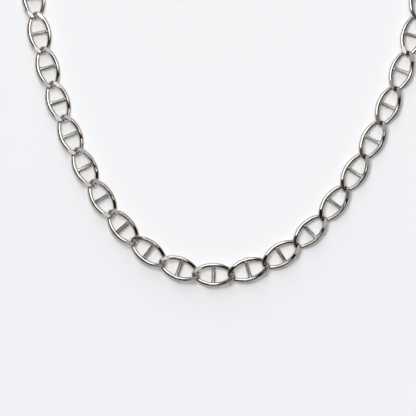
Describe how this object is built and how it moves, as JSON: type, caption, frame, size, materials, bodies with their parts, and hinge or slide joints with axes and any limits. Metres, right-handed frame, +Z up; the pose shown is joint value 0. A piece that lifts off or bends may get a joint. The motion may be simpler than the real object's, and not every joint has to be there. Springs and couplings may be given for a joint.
{
  "type": "mariner link chain necklace",
  "caption": "Necklace of pointed oval links with a cross bar, twisted to lie flat and planed on both faces, hooked one through the next and closed by a plain clasp on small rings; lies flat.",
  "frame": {"origin": "middle of the loop's box, on the surface that the chain lies on", "axes": "+Z up from the surface, +Y from the bottom of the loop towards the clasp, +X to the right seen from above"},
  "size_m": [0.1222, 0.1808, 0.0026],
  "materials": {
    "silver": "polished"
  },
  "bodies": {
    "root": {"link_01": "silver", "link_02": "silver", "link_03": "silver", "link_04": "silver", "link_05": "silver", "link_06": "silver", "link_07": "silver", "link_08": "silver", "link_09": "silver", "link_10": "silver", "link_11": "silver", "link_12": "silver", "link_13": "silver", "link_14": "silver", "link_15": "silver", "link_16": "silver", "link_17": "silver", "link_18": "silver", "link_19": "silver", "link_20": "silver", "link_21": "silver", "link_22": "silver", "link_23": "silver", "link_24": "silver", "link_25": "silver", "link_26": "silver", "link_27": "silver", "link_28": "silver", "link_29": "silver", "link_30": "silver", "link_31": "silver", "link_32": "silver", "link_33": "silver", "link_34": "silver", "link_35": "silver", "link_36": "silver", "link_37": "silver", "link_38": "silver", "link_39": "silver", "link_40": "silver", "link_41": "silver", "link_42": "silver", "end_ring": "silver", "clasp_ring": "silver", "clasp": "silver"}
  },
  "joints": []
}
